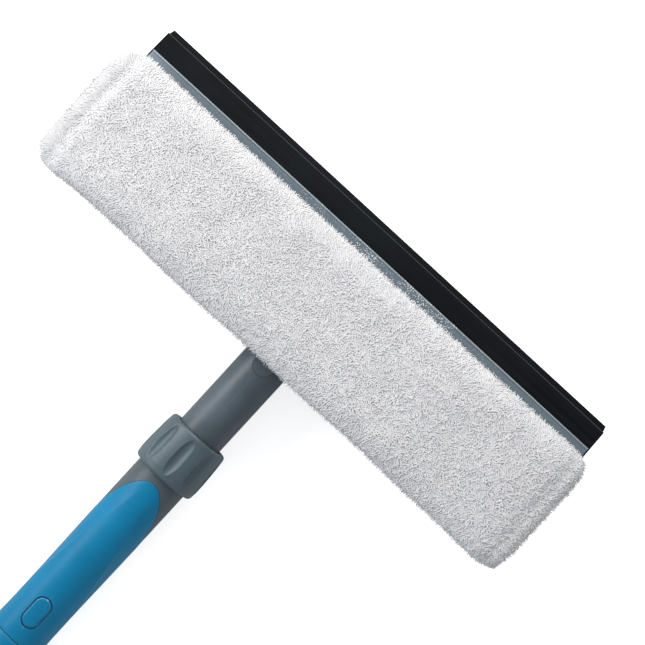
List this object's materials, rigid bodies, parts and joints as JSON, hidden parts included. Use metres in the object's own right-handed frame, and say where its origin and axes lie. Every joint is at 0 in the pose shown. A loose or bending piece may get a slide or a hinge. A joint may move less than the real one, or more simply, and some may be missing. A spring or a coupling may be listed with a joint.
{
  "type": "window cleaning squeegee",
  "caption": "Window cleaning squeegee with a rubber blade over a thick fleece washer pad, tilting head, twist-lock telescopic neck and blue grip with a lock button.",
  "frame": {"origin": "on the surface the tool lies on, back down, under the middle of its length and width", "axes": "+Y up the pole towards the rubber blade's edge, +Z out of the washer pad's face, X along the blade"},
  "size_m": [0.315, 0.5, 0.046],
  "materials": {
    "grey_plastic": "satin moulded",
    "rail_grey": "fine metallic fleck",
    "blue_grip": "soft satin",
    "black_rubber": "matt extruded",
    "white_fleece": "deep tufted pile",
    "foam": "open cell",
    "hook_tape": "woven tape",
    "aluminium": "satin anodised",
    "steel": "zinc plated",
    "white_plastic": "natural"
  },
  "bodies": {
    "handle": {"outer_tube": "aluminium", "handle_ferrule": "grey_plastic", "upper_grip": "blue_grip", "lower_grip": "blue_grip", "button_seat": "steel", "clamp_collet": "white_plastic", "end_cap": "grey_plastic", "end_cap_screw": "steel", "lock_spring": "steel"},
    "twist_collar": {"twist_collar": "grey_plastic"},
    "lock_button": {"lock_button": "blue_grip"},
    "neck": {"inner_tube": "aluminium", "tube_end_bush": "white_plastic", "neck_sleeve": "grey_plastic", "swivel_knuckle": "grey_plastic", "neck_screw": "steel", "release_spring": "steel"},
    "release_button": {"head_release_button": "grey_plastic"},
    "head": {"carrier_frame": "grey_plastic", "hook_strip_upper": "hook_tape", "hook_strip_lower_left": "hook_tape", "hook_strip_lower_right": "hook_tape", "blade_rail_front": "rail_grey", "blade_rail_back": "grey_plastic", "rubber_blade": "black_rubber", "rail_screw_1": "steel", "rail_screw_2": "steel", "rail_screw_3": "steel", "rail_screw_4": "steel", "rail_screw_5": "steel", "washer_pad": "white_fleece", "loop_backing": "hook_tape", "pad_foam": "foam", "pad_pocket_right": "white_fleece", "pad_pocket_left": "white_fleece", "swivel_pin": "steel", "pin_push_nut": "steel", "friction_washer_right": "white_plastic", "friction_washer_left": "white_plastic"}
  },
  "joints": [
    {"name": "telescope", "type": "slide", "parent": "handle", "child": "neck", "axis": [0, 1, 0], "range_m": [0, 0.15]},
    {"name": "collar_twist", "type": "hinge", "parent": "handle", "child": "twist_collar", "pos_m": [0, 0.092, 0.0185], "axis": [0, 1, 0], "range_deg": [0, 90]},
    {"name": "lock_press", "type": "slide", "parent": "handle", "child": "lock_button", "axis": [0, 0, -1], "range_m": [0, 0.0014], "stiffness_N_per_m": 800, "springref_m": -0.0015, "deforming": ["lock_spring"]},
    {"name": "release_press", "type": "slide", "parent": "neck", "child": "release_button", "axis": [0, 0, -1], "range_m": [0, 0.0018], "stiffness_N_per_m": 700, "springref_m": -0.002, "deforming": ["release_spring"]},
    {"name": "head_tilt", "type": "hinge", "parent": "neck", "child": "head", "pos_m": [0, 0.185, 0.0185], "axis": [1, 0, 0], "range_deg": [-60, 0]}
  ]
}
